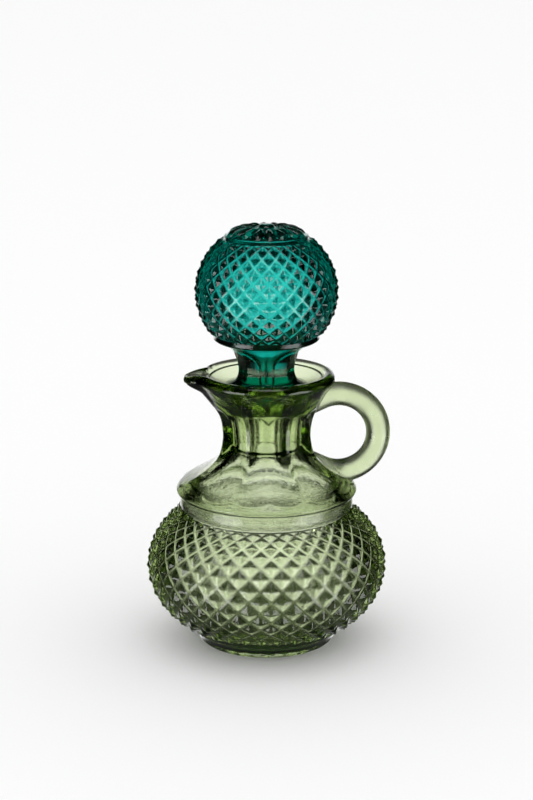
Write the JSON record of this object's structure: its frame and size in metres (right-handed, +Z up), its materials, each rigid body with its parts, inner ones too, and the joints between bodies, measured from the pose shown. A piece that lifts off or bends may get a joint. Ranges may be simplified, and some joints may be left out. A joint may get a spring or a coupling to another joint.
{
  "type": "stoppered glass cruet",
  "caption": "Squat pressed-glass cruet or scent bottle with a diamond-cut bowl, fluted neck, pouring spout, loop handle and a lift-out ball stopper.",
  "frame": {"origin": "middle of the flat foot, on the surface the bottle stands on", "axes": "+Z up along the bottle's axis, +X towards the loop handle, -X towards the pouring spout, -Y towards the front"},
  "size_m": [0.0986, 0.0974, 0.171],
  "materials": {
    "green_glass": "polished",
    "handle_glass": "satin",
    "teal_glass": "polished"
  },
  "bodies": {
    "bottle_body": {"bottle": "green_glass", "handle": "handle_glass"},
    "stopper_body": {"stopper": "teal_glass"}
  },
  "joints": [
    {"name": "stopper_lift", "type": "slide", "parent": "bottle_body", "child": "stopper_body", "axis": [0, 0, 1], "range_m": [0, 0.04]}
  ]
}
